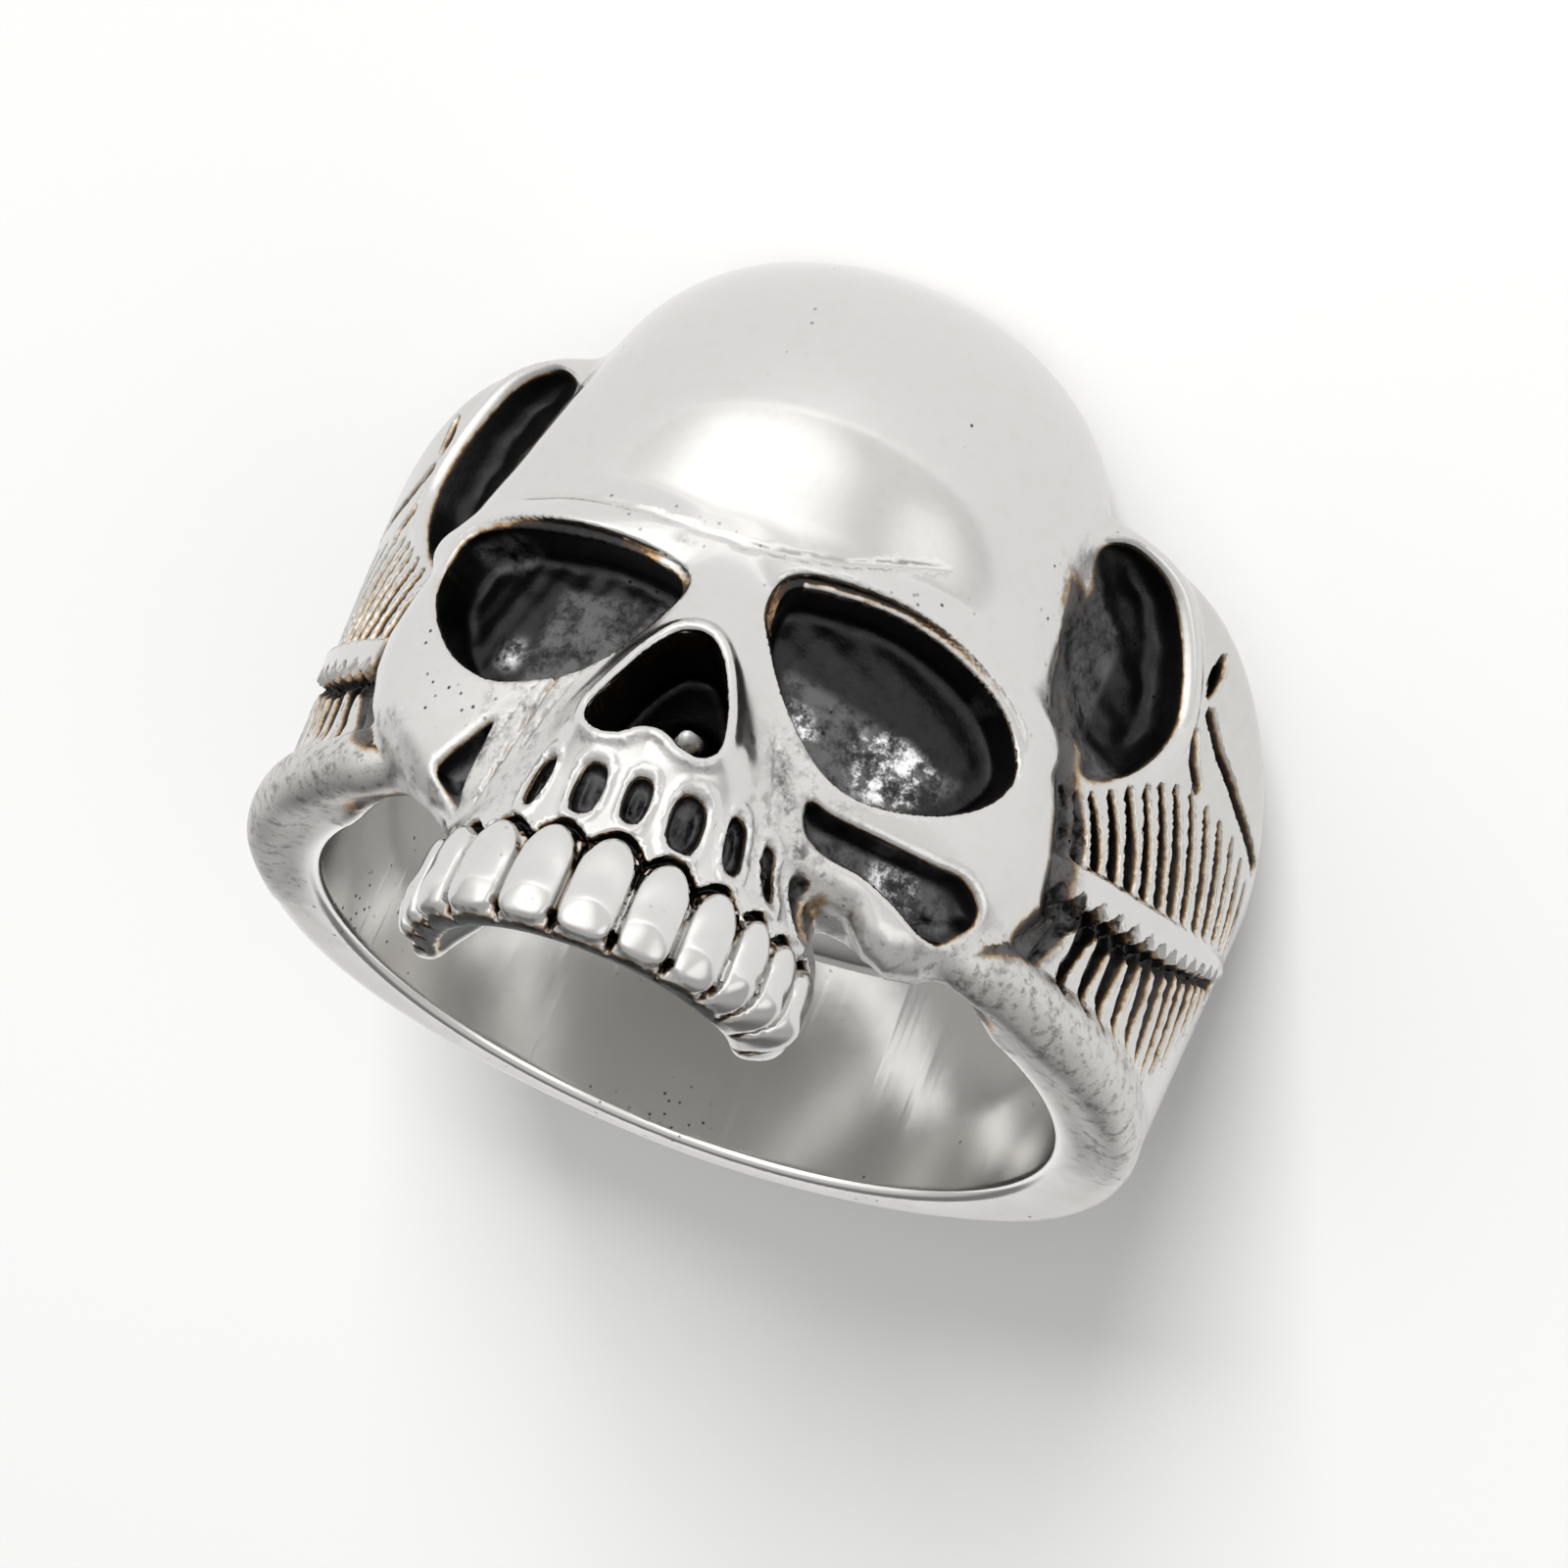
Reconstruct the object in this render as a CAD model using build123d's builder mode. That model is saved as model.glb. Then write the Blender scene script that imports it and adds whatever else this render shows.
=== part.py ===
from build123d import *
from math import cos, degrees, radians, sin, tan
import os

# Skull ring, cast in one piece. All lengths are in millimetres and all angles in degrees.
# It is modelled upright: the finger passes along Z, the face looks to -Y and the crown is up.
# At the end the ring is laid on its side, crown down, as it rests by itself on a table.

# Shank and shoulders
finger_radius = 10.7
back_wall = 1.7
front_wall = 1.0
shoulder_wall_low = 2.2
shoulder_wall_high = 3.0
edge_below = 4.2
back_edge_above = 3.0
shoulder_height = 9.7
edge_round = 0.6
round_share = 0.4
mouth_flare = 0.6
mouth_depth = 1.6

# Crown of the skull, round from above; its upper half is fuller than an ellipse
crown_radius = 7.5
crown_height = 6.8
crown_y = -7.2
crown_z = 7.0
crown_power = 2.7
crown_points = 12

# Face
face_radius = 13.5
face_half_width = 9.3
face_above = 8.6
face_below = 4.6
face_back = 5.5
face_bulge = 1.3
brow_z = 3.7
brow_radius = 1.1
brow_reach = 12.45
brow_droop = 9.0
brow_half_angle = 33.0

# Eye sockets
socket_x = 4.45
socket_z = 0.6
socket_half_width = 3.5
socket_half_height = 2.3
socket_droop = 14.0
recess_floor = 1.3

# Nose
nose_top_z = 0.1
nose_lobe_x = 1.0
nose_lobe_z = -2.75
nose_top_radius = 0.4
nose_lobe_radius = 0.85
septum_radius = 0.45

# Upper jaw and teeth
jaw_half_width = 4.6
jaw_reach = 4.6
jaw_y = -10.3
jaw_below = 8.2
jaw_above = 3.4
jaw_wall = 1.8
tooth_radius = 0.66
tooth_height = 2.4
tooth_bulge = 0.3
tooth_step = 17.0
teeth_each_side = 5
root_height = 1.2
root_width = 0.6
root_depth = 0.7
root_z = -4.5

# Cheek hollows
hollow_length = 4.2
hollow_width = 0.95
hollow_x = 6.3
hollow_z = -3.0
hollow_slope = -8.0
hollow_floor = 1.7

# Shoulder window and dimple
window_angle = -44.5
window_z = 6.0
window_half_width = 2.7
window_half_height = 3.05
window_floor = 0.6
dimple_angle = -30.0
dimple_z = 7.7
dimple_half_width = 0.3
dimple_half_height = 0.6
dimple_depth = 0.6

# Feather on each shoulder: a quill that climbs to the back, with barbs above and below it
quill_rise = 0.4
quill_width = 0.9
quill_front_z = -0.2
quill_slope = 18.0
quill_front_y = -9.0
quill_back_y = 2.5
barb_width = 0.26
barb_depth = 0.35
barb_count = 11
barb_first_angle = -38.0
barb_step = 4.0
upper_barb_length = 2.4
upper_barb_lean = 38.0
lower_barb_length = 3.1
lower_barb_lean = 5.0

# Reach of cuts that run right through or out of the ring
tall = 4 * jaw_below
wide = 4 * finger_radius


def on_wall(angle, radius, z):
    """A plane that faces outwards at one angle round the finger, counted from +X."""
    out = (cos(radians(angle)), sin(radians(angle)), 0)
    return Plane(
        origin=(radius * out[0], radius * out[1], z),
        x_dir=(-out[1], out[0], 0),
        z_dir=out,
    )


def on_jaw(angle, inset, z):
    """A plane that faces out of the dental arch, at an angle from the middle of the face."""
    across = sin(radians(angle))
    out = cos(radians(angle))
    x = (jaw_half_width - inset) * across
    y = jaw_y - (jaw_reach - inset) * out
    facing = Vector(across / jaw_half_width, -out / jaw_reach, 0)
    return Plane(origin=(x, y, z), x_dir=Vector(0, 0, 1).cross(facing), z_dir=facing)


# Shank with its shoulders, in equal steps from the middle of the back to the middle of the face.
# Each row holds shares of the way from the back's wall to the shoulder's wall, at the chin-side edge
# and at the crown-side edge, and the share of the shoulder's rise at the crown-side edge.
BAND_SECTIONS = [
    (0.00, 0.00, 0.00),
    (0.05, 0.05, 0.01),
    (0.45, 0.35, 0.05),
    (1.00, 0.85, 0.12),
    (1.00, 1.00, 0.30),
    (0.62, 0.75, 0.66),
    (0.25, 0.48, 0.94),
    (0.05, 0.15, 1.00),
    (0.00, 0.00, 1.00),
    (0.00, 0.00, 1.00),
]
BAND_STEPS_PAST = 2


def band_corners(low, high, up, forward):
    """Corners of the band's section: distances from the finger's axis, and heights."""
    top = back_edge_above + up * (shoulder_height - back_edge_above)
    thin = back_wall + forward * (front_wall - back_wall)
    foot = finger_radius + thin + low * (shoulder_wall_low - thin)
    head = finger_radius + thin + high * (shoulder_wall_high - thin)
    inside = finger_radius - edge_round / 2
    return [(inside, -edge_below), (foot, -edge_below), (head, top), (inside, top)]


def band_sections(rise):
    """Sections of the band from a little before its back to a little past its front."""
    sections = []
    last = len(BAND_SECTIONS) - 1
    for step in range(-BAND_STEPS_PAST, last + BAND_STEPS_PAST + 1):
        low, high, up = BAND_SECTIONS[last - abs(last - abs(step))]
        angle = step * 180 / last
        out = (sin(radians(angle)), cos(radians(angle)), 0)
        with BuildSketch(Plane((0, 0, 0), x_dir=out, z_dir=(out[1], -out[0], 0))) as section:
            inner_low, foot, head, inner_high = band_corners(low, high, up, abs(step) / last)
            with BuildLine():
                Polyline(inner_low, (foot[0] + rise, foot[1]), (head[0] + rise, head[1]), inner_high, close=True)
            make_face()
            wall = min(foot[0], head[0]) - inner_low[0]
            fillet(section.vertices(), min(edge_round, round_share * wall))
        sections.append(section.sketch)
    return sections


with BuildPart() as band:
    loft(sections=band_sections(0))
    split(bisect_by=Plane.YZ)
    mirror(about=Plane.YZ)

# The quill of the feather: a raised bar along each shoulder, tapering to the back.
with BuildPart() as quill:
    loft(sections=band_sections(quill_rise))
    with BuildSketch(Plane.YZ):
        with BuildLine():
            quill_back_z = quill_front_z + (quill_back_y - quill_front_y) * tan(radians(quill_slope))
            Polyline(
                (quill_front_y, quill_front_z - quill_width / 2),
                (quill_back_y, quill_back_z),
                (quill_front_y, quill_front_z + quill_width / 2),
                close=True,
            )
        make_face()
    extrude(amount=wide, both=True, mode=Mode.INTERSECT)
    mirror(about=Plane.YZ)


def crown_rise(across):
    """Height of the crown's outline over its widest place, at a distance from its axis."""
    return crown_height * (1 - (across / crown_radius) ** crown_power) ** (1 / crown_power)


def crown_reach(angle):
    """Point of the crown's outline at an angle from its top."""
    across = sin(radians(angle)) / crown_radius
    up = cos(radians(angle)) / crown_height
    reach = (across**crown_power + up**crown_power) ** (-1 / crown_power)
    return (reach * sin(radians(angle)), reach * cos(radians(angle)))


with BuildPart() as crown:
    with BuildSketch(Plane((0, crown_y, crown_z), x_dir=(1, 0, 0), z_dir=(0, -1, 0))):
        with BuildLine():
            between = [crown_reach(90 * k / crown_points) for k in range(1, crown_points)]
            Spline([(0, crown_height)] + between + [(crown_radius, 0)], tangents=[(1, 0), (0, -1)])
            EllipticalCenterArc((0, 0), crown_radius, crown_height, start_angle=-90, arc_size=90)
            Line((0, -crown_height), (0, crown_height))
        make_face()
    revolve(axis=Axis((0, crown_y, crown_z), (0, 0, 1)))

# Face: its outline from the front, on a barrel round the finger.
# Each row is a share of the half width, and a share of the height above or below the middle.
TEMPLE_OUTLINE = [
    (0.63, 1.00),
    (0.75, 0.85),
    (0.85, 0.47),
    (0.96, 0.16),
]
CHEEK_CORNER = (1.00, 0.33)
CHEEK_OUTLINE = [
    (0.86, 0.80),
    (0.70, 1.00),
    (0.57, 0.88),
]

with BuildPart() as face:
    with BuildSketch(Plane.XZ):
        with BuildLine():
            temple = [(face_half_width * across, face_above * up) for across, up in TEMPLE_OUTLINE]
            corner = (face_half_width * CHEEK_CORNER[0], -face_below * CHEEK_CORNER[1])
            cheek = [(face_half_width * across, -face_below * down) for across, down in CHEEK_OUTLINE]
            Line((0, face_above), temple[0])
            Spline(temple + [corner])
            Line(corner, cheek[0])
            Spline(cheek)
            Line(cheek[-1], (0, cheek[-1][1]))
            mirror(about=Plane.YZ)
        make_face()
    extrude(amount=wide)
    with BuildSketch(Plane.XZ):
        with BuildLine():
            low = (face_radius - face_bulge, -jaw_below)
            high = (face_radius - face_bulge, jaw_below)
            ThreePointArc(low, (face_radius, 0), high)
            Polyline(high, (0, jaw_below), (0, -jaw_below), low)
        make_face()
    revolve(axis=Axis.Z, mode=Mode.INTERSECT)
    split(bisect_by=Plane((0, -face_back, 0), x_dir=(1, 0, 0), z_dir=(0, -1, 0)))

# Brow: a round bar over each socket, drooping to the outside
brow_axis = Vector(sin(radians(brow_droop)), 0, cos(radians(brow_droop)))
brow_plane = Plane((0, 0, 0), x_dir=(0, -1, 0), z_dir=Vector(0, -1, 0).cross(brow_axis))
with BuildPart() as brow:
    with BuildSketch(brow_plane):
        with Locations((brow_reach, brow_z)):
            Circle(brow_radius)
    revolve(axis=Axis((0, 0, 0), brow_axis), revolution_arc=brow_half_angle)
    tip = Vector(0, -brow_reach, 0).rotate(Axis.Z, brow_half_angle)
    tip = Vector(tip.X, tip.Y, brow_z).rotate(Axis.Y, brow_droop)
    with Locations((tip.X, tip.Y, tip.Z)):
        Sphere(brow_radius)
    mirror(about=Plane.YZ)

# Upper jaw, from the teeth up to the bridge of the nose.
# Each row is the height as a share of jaw_below or jaw_above, and shares of the half width and reach.
JAW_SECTIONS = [
    (-1.00, 1.00, 0.98),
    (-0.60, 0.98, 0.95),
    (-0.34, 0.80, 1.00),
    (0.00, 0.55, 0.86),
    (1.00, 0.28, 0.52),
]

with BuildPart() as jaw:
    for height, across, reach in JAW_SECTIONS:
        z = height * (jaw_below if height < 0 else jaw_above)
        with BuildSketch(Plane((0, jaw_y, z))):
            Ellipse(jaw_half_width * across, jaw_reach * reach)
    loft()

# Row of teeth round the dental arch
with BuildPart() as teeth:
    for step in range(-teeth_each_side, teeth_each_side + 1):
        place = on_jaw(step * tooth_step, tooth_radius - tooth_bulge, -jaw_below + tooth_height / 2)
        with BuildSketch(Plane(place.origin, x_dir=place.x_dir, z_dir=(0, 0, 1)).offset(-tooth_height / 2)):
            Circle(tooth_radius)
        extrude(amount=tooth_height)

# Hollow behind the teeth, up to the chin-side edge of the finger hole
with BuildPart() as palate:
    with BuildSketch(Plane((0, jaw_y, -edge_below))):
        Ellipse(jaw_half_width - jaw_wall, jaw_reach - jaw_wall)
    extrude(amount=-tall / 2)

# Cuts for the sockets, the nose and the hollows of the cheeks, all down to a floor round the finger
with BuildPart() as recesses:
    with BuildSketch(Plane.XZ):
        for side in (1, -1):
            with Locations(Location((side * socket_x, socket_z, 0), (0, 0, -side * socket_droop))):
                Ellipse(socket_half_width, socket_half_height)
    extrude(amount=wide)
    with BuildSketch(Plane.XZ):
        with Locations((0, nose_top_z)):
            Circle(nose_top_radius)
        with Locations((nose_lobe_x, nose_lobe_z), (-nose_lobe_x, nose_lobe_z)):
            Circle(nose_lobe_radius)
        make_hull()
        with Locations((0, nose_lobe_z - nose_lobe_radius)):
            Circle(septum_radius, mode=Mode.SUBTRACT)
    extrude(amount=wide)
    Cylinder(finger_radius + recess_floor, tall, mode=Mode.SUBTRACT)

with BuildPart() as hollows:
    with BuildSketch(Plane.XZ):
        for side in (1, -1):
            with Locations(Location((side * hollow_x, hollow_z, 0), (0, 0, side * hollow_slope))):
                SlotOverall(hollow_length, hollow_width)
    extrude(amount=wide)
    Cylinder(finger_radius + hollow_floor, tall, mode=Mode.SUBTRACT)

# Pockets of the roots, one over each tooth
with BuildPart() as roots:
    for step in range(-teeth_each_side + 1, teeth_each_side):
        with BuildSketch(on_jaw(step * tooth_step, root_depth, root_z)):
            SlotOverall(root_height, root_width, rotation=90)
        extrude(amount=2 * root_depth)

# Windows and dimples of the shoulders
with BuildPart() as windows:
    with BuildSketch(on_wall(window_angle, finger_radius, window_z)):
        Ellipse(window_half_width, window_half_height)
    extrude(amount=2 * shoulder_wall_high)
    Cylinder(finger_radius + window_floor, tall, mode=Mode.SUBTRACT)
    with BuildSketch(on_wall(dimple_angle, finger_radius + shoulder_wall_high - dimple_depth, dimple_z)):
        Ellipse(dimple_half_width, dimple_half_height)
    extrude(amount=2 * shoulder_wall_high)
    mirror(about=Plane.YZ)

# Grooves between the barbs. They start at the quill: the upper ones lean to the front.
with BuildPart() as barbs:
    for i in range(barb_count):
        angle = barb_first_angle + i * barb_step
        wall = finger_radius + back_wall + (shoulder_wall_low - back_wall) * i / barb_count
        y = wall * sin(radians(angle))
        line = quill_front_z + (y - quill_front_y) * tan(radians(quill_slope))
        with BuildSketch(on_wall(angle, wall - barb_depth, line + quill_width / 2)):
            Rectangle(barb_width, upper_barb_length, rotation=upper_barb_lean, align=(Align.CENTER, Align.MIN))
        extrude(amount=shoulder_wall_low)
        with BuildSketch(on_wall(angle, wall - barb_depth, line - quill_width / 2)):
            Rectangle(barb_width, lower_barb_length, rotation=lower_barb_lean, align=(Align.CENTER, Align.MAX))
        extrude(amount=shoulder_wall_low)
    mirror(about=Plane.YZ)

# The finger hole, with a flared mouth that blunts the crown's edge
with BuildPart() as finger_hole:
    Cylinder(finger_radius, 2 * tall)
    crown_top = crown_z + crown_height
    with BuildSketch(Plane.XZ):
        with BuildLine():
            start = (finger_radius, crown_top - mouth_depth)
            end = (finger_radius + mouth_flare, crown_top)
            TangentArc(start, end, tangent=(0, 1))
            Polyline(end, (0, crown_top), (0, crown_top - mouth_depth), start)
        make_face()
    revolve(axis=Axis.Z)

with BuildPart() as shank:
    add([band.part, quill.part])
    add([windows.part, barbs.part], mode=Mode.SUBTRACT)

with BuildPart() as upright:
    add([body.part for body in (shank, crown, face, brow, jaw, teeth)])
    add([cut.part for cut in (palate, recesses, hollows, roots, finger_hole)], mode=Mode.SUBTRACT)


def height_over_rest(lean):
    """How much further the crown's edge reaches than the back's edge, along a direction that leans back."""
    edge_z = crown_z + crown_rise(finger_radius + mouth_flare / 2 + crown_y)
    crown_edge = -(finger_radius + mouth_flare / 2) * sin(lean) + edge_z * cos(lean)
    back_edge = (finger_radius + back_wall - edge_round) * sin(lean)
    back_edge += (back_edge_above - edge_round) * cos(lean) + edge_round
    return crown_edge - back_edge


# The ring lies on the crown's edge and the back's edge: halve the interval until both touch the table.
least, most = 0.0, radians(60)
for halving in range(40):
    lean = (least + most) / 2
    if height_over_rest(lean) > 0:
        least = lean
    else:
        most = lean

# Laid down: turned over about X with the face still forward, and set on the table about the middle
with BuildPart() as skull_ring:
    laid = upright.part.rotate(Axis.X, degrees(lean) - 180).rotate(Axis.Z, 180)
    box = laid.bounding_box()
    add(laid.moved(Location((-box.center().X, -box.center().Y, -box.min.Z))))

skull_ring.part.label = "skull_ring"
os.makedirs("parts", exist_ok=True)
export_step(skull_ring.part, "parts/skull_ring.step")
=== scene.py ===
import math

import bpy
import numpy as np
from mathutils import Matrix, Vector


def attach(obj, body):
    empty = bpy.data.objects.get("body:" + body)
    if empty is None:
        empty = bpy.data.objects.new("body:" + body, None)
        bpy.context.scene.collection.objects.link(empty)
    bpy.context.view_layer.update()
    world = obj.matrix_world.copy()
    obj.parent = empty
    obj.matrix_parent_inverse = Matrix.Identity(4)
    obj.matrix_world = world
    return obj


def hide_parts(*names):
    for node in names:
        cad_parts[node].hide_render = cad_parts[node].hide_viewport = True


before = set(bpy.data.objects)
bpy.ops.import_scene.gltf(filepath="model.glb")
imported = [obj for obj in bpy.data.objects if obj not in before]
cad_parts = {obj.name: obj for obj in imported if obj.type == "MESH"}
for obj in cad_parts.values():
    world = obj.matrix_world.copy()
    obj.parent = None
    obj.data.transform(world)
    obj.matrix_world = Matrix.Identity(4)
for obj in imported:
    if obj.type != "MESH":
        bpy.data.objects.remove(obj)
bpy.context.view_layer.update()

# Skull ring in polished, blackened silver. The casting is worked out in millimetres in the ring's own
# frame: the finger passes along Z, the face looks to -Y and the crown is up. Distances to its surface
# come from fields, a grid turns them into a mesh, and the mesh is laid down in the frame of the CAD.

MM = 0.001

# How the ring lies: leaning on its crown, with its middle here in the CAD's frame
LEAN = 24.34802
RING_MIDDLE = (0.0, 2.2231, 7.65737)

# Shank and shoulders
BORE = 10.7
BACK_WALL = 1.7
FRONT_WALL = 1.0
SHOULDER_LOW = 2.2
SHOULDER_HIGH = 3.0
CHIN_EDGE = -4.2
BACK_TOP = 3.0
SHOULDER_TOP = 9.7
# Every 20 degrees from the middle of the back: shares of the wall at both edges, and of the rise
BAND_LOW = (0.0, 0.05, 0.45, 1.0, 1.0, 0.62, 0.25, 0.05, 0.0, 0.0)
BAND_HIGH = (0.0, 0.05, 0.35, 0.85, 1.0, 0.75, 0.48, 0.15, 0.0, 0.0)
BAND_UP = (0.0, 0.01, 0.05, 0.12, 0.30, 0.66, 0.94, 1.0, 1.0, 1.0)

# Crown and brow of the skull
CROWN_RADIUS = 7.5
CROWN_HEIGHT = 6.8
CROWN_X = 0.4
CROWN_DEPTH = 5.9
CROWN_Y = -7.2
CROWN_Z = 7.0
CROWN_POWER = 2.7
BROW_RADIUS = 1.1
BROW_REACH = 12.5
BROW_Z = 3.45
BROW_DROOP = 8.0

# The skull sits a little to one side of the shank's middle. The face bends round a barrel, which falls back
# by FACE_CURVE at FACE_HALF above or below its middle.
SKULL_SHIFT = -0.3
FACE_RADIUS = 13.5
FACE_CURVE = 1.3
FACE_HALF = 8.2
# Bridge of the nose and the muzzle's two sides: x, y, z and radius
BRIDGE = [(0.0, -12.3, 3.2, 1.15), (0.0, -13.1, 0.6, 1.1), (0.8, -13.7, -2.6, 1.35)]
JAW_Y = -10.3
JAW_RADIUS = 4.6
JAW_TOP = 3.4
TEETH_END = -8.2

# Outline of the face from the front, across and up; its two sides were finished by hand and differ
FACE_OUTLINE = [
    (0.0, 8.6), (5.9, 8.6), (6.6, 7.6), (7.0, 6.8), (7.45, 5.1), (7.9, 3.6), (8.45, 2.3), (8.9, 1.1),
    (9.2, -0.1), (9.35, -1.3), (8.9, -2.6), (8.1, -3.75), (7.3, -4.6), (6.5, -4.95), (5.85, -4.75),
    (5.3, -4.2), (3.0, -4.1), (-3.0, -4.9), (-4.6, -5.1), (-5.3, -4.85), (-6.1, -4.4), (-6.9, -3.8),
    (-7.6, -3.15), (-8.2, -2.3), (-8.55, -1.3), (-8.65, -0.3), (-8.45, 0.8), (-8.2, 1.9), (-8.0, 3.1),
    (-7.6, 4.6), (-7.2, 6.0), (-6.7, 7.4), (-5.9, 8.6),
]
# Sockets, nose and cheek hollow: points of closed smooth outlines, across and up
SOCKET_RIGHT = [
    (1.3, 1.7), (1.4, 2.7), (2.6, 3.02), (4.4, 3.1), (5.9, 2.8), (7.1, 2.25), (7.8, 1.4), (7.88, 0.6),
    (7.4, -0.35), (6.4, -1.2), (5.0, -1.7), (3.8, -1.5), (2.6, -0.5), (1.75, 0.6),
]
SOCKET_LEFT = [
    (-1.1, 1.6), (-1.5, 2.15), (-3.0, 2.5), (-4.8, 2.66), (-6.3, 2.68), (-7.3, 2.42), (-7.66, 1.7),
    (-7.6, 0.8), (-7.1, -0.2), (-6.2, -1.15), (-5.0, -1.68), (-3.8, -1.52), (-2.6, -0.95), (-1.75, -0.1),
    (-1.2, 0.8),
]
NOSE = [
    (-0.3, 0.22), (0.3, 0.22), (0.8, -0.3), (1.25, -1.2), (1.52, -2.0), (1.6, -2.62), (1.3, -3.0),
    (0.8, -2.96), (0.4, -2.74), (0.03, -2.64), (-0.35, -2.78), (-0.75, -3.06), (-1.25, -3.1),
    (-1.65, -2.86), (-1.73, -2.45), (-1.5, -1.74), (-1.12, -0.74), (-0.72, -0.09),
]
HOLLOW_RIGHT = [
    (3.75, -2.3), (4.4, -2.38), (5.6, -2.36), (6.8, -2.3), (7.7, -2.2), (8.25, -2.6), (8.35, -3.2),
    (8.0, -3.75), (7.3, -3.9), (6.5, -3.6), (5.6, -3.35), (4.6, -3.3), (3.95, -3.0),
]
HOLLOW_LEFT = [
    (-4.45, -2.75), (-4.5, -3.4), (-4.6, -4.2), (-4.7, -5.0), (-5.05, -4.7), (-5.5, -4.2), (-5.4, -3.9),
    (-4.9, -3.3),
]

# Fine lines engraved in the face: half width, depth, then points across and up
LINES = [
    (0.17, 0.07, [(-0.9, 3.3), (0.0, 3.18), (1.13, 3.35), (2.36, 3.66), (3.5, 4.21), (4.65, 4.76)]),
    (0.16, 0.06, [(-0.81, 3.25), (-1.98, 3.4), (-3.75, 3.62), (-5.27, 3.75), (-6.76, 3.72)]),
    (0.12, 0.12, [(-2.84, -0.06), (-3.33, -1.75), (-3.65, -3.51), (-3.96, -5.0)]),
    (0.07, 0.06, [(-2.6, -0.9), (-3.0, -2.3), (-3.3, -3.7)]),
    (0.07, 0.06, [(-3.4, -0.9), (-3.9, -2.2), (-4.2, -3.3)]),
    (0.07, 0.05, [(2.35, -0.9), (2.75, -2.2), (3.1, -3.4)]),
]

# Floors of the recesses, as distances from the finger's axis
SOCKET_FLOOR = 12.0
SOCKET_SHELF = 13.45
NOSE_FLOOR = 11.9
HOLLOW_FLOOR = 12.45
WINDOW_FLOOR = 11.35
# A ball of metal left in the nose: across and up, half widths, and how far it stands off the floor
BALL_AT = (0.35, -1.75)
BALL_SIZE = (0.42, 0.4)
BALL_HIGH = 1.3

# Gaps between the teeth, as angles round the jaw
GAPS = (-86, -75, -62, -45, -25, -6, 13, 30.5, 46, 58.5, 71, 85)
# Root pockets: angle and height, half width and half height
POCKETS = [
    (-31, -4.45, 0.26, 0.64), (-12.7, -4.47, 0.36, 0.62), (3.2, -4.43, 0.29, 0.55),
    (20.1, -4.5, 0.42, 0.66), (37, -4.4, 0.28, 0.68), (52, -4.5, 0.26, 0.64), (67, -4.6, 0.30, 0.62),
]

# Grooves of the feather: root angle and height, tip angle and height
BARBS_ABOVE = [
    (-45.4, 0.5, -48.2, 1.7), (-42.4, 0.6, -45.4, 2.0), (-39.4, 0.7, -43.0, 2.1), (-36.2, 0.8, -41.0, 2.35),
    (-33.0, 0.9, -38.4, 2.75), (-29.8, 1.05, -36.0, 3.15), (-26.6, 1.2, -33.6, 3.55),
    (-23.4, 1.4, -31.2, 3.9), (-20.2, 1.55, -28.6, 4.2), (-16.8, 1.75, -25.4, 4.4),
    (-13.2, 2.0, -21.6, 4.5), (-9.6, 2.3, -17.6, 4.6), (-5.8, 2.6, -13.0, 4.7), (-2.0, 2.9, -8.0, 4.7),
    (2.0, 3.2, -2.8, 4.6),
]
BARBS_BELOW = [
    (-44.6, -0.7, -49.0, -1.9), (-40.6, -0.6, -45.4, -2.4), (-36.8, -0.5, -41.4, -2.7),
    (-33.2, -0.4, -36.6, -3.1), (-29.8, -0.25, -32.0, -3.3), (-26.6, -0.1, -27.6, -3.3),
    (-23.4, 0.05, -23.0, -3.35), (-20.2, 0.25, -18.2, -3.3), (-17.0, 0.5, -14.2, -2.9),
    (-13.8, 0.75, -10.8, -2.4), (-10.6, 1.0, -8.0, -1.8), (-7.4, 1.2, -5.0, -1.2), (-4.2, 1.45, -2.0, -0.4),
    (-1.0, 1.7, 1.2, 0.4), (2.2, 1.95, 4.0, 1.0),
]
# Window of the shoulder: outline by angle and height, its front end hidden behind the face
WINDOW = [
    (-66, 4.2), (-62.5, 6.0), (-59, 7.0), (-55.5, 7.9), (-51.5, 8.7), (-46.8, 9.06), (-41.6, 8.78),
    (-37.3, 7.89), (-33.7, 6.59), (-32.6, 5.38), (-35.5, 3.92), (-41.5, 2.64), (-48, 2.3), (-56, 2.2),
    (-62, 2.6),
]
# Two curved grooves and a dimple behind the window, by angle and height
CURVES = [[(-29.4, 5.8), (-27.6, 5.2), (-25.0, 4.75)], [(-28.0, 6.6), (-23.5, 6.0), (-14.5, 5.5), (-2, 5.3)]]
DIMPLE_AT = (-29.4, 7.6)
DIMPLE_SIZE = (0.27, 0.72)
# The quill by angle: its middle's height and its half width
QUILL_ANGLES = (-50, -45, -37, -32, -25, -16, -8, 0, 8)
QUILL_HEIGHTS = (-0.2, -0.05, 0.2, 0.36, 0.62, 1.15, 1.75, 2.35, 3.0)
QUILL_HALF = (0.35, 0.48, 0.55, 0.55, 0.58, 0.56, 0.48, 0.34, 0.08)


def smin(a, b, k):
    h = np.maximum(k - np.abs(a - b), 0.0) / k
    return np.minimum(a, b) - h * h * k * 0.25


def smax(a, b, k):
    return -smin(-a, -b, k)


def step(low, high, t):
    t = np.clip((t - low) / (high - low), 0, 1)
    return t * t * (3 - 2 * t)


def blob(u, v, at, size):
    """A soft spot in a plane: 1 in its middle, fading over its two half widths."""
    return np.exp(-((u - at[0]) / size[0]) ** 2 - ((v - at[1]) / size[1]) ** 2)


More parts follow.
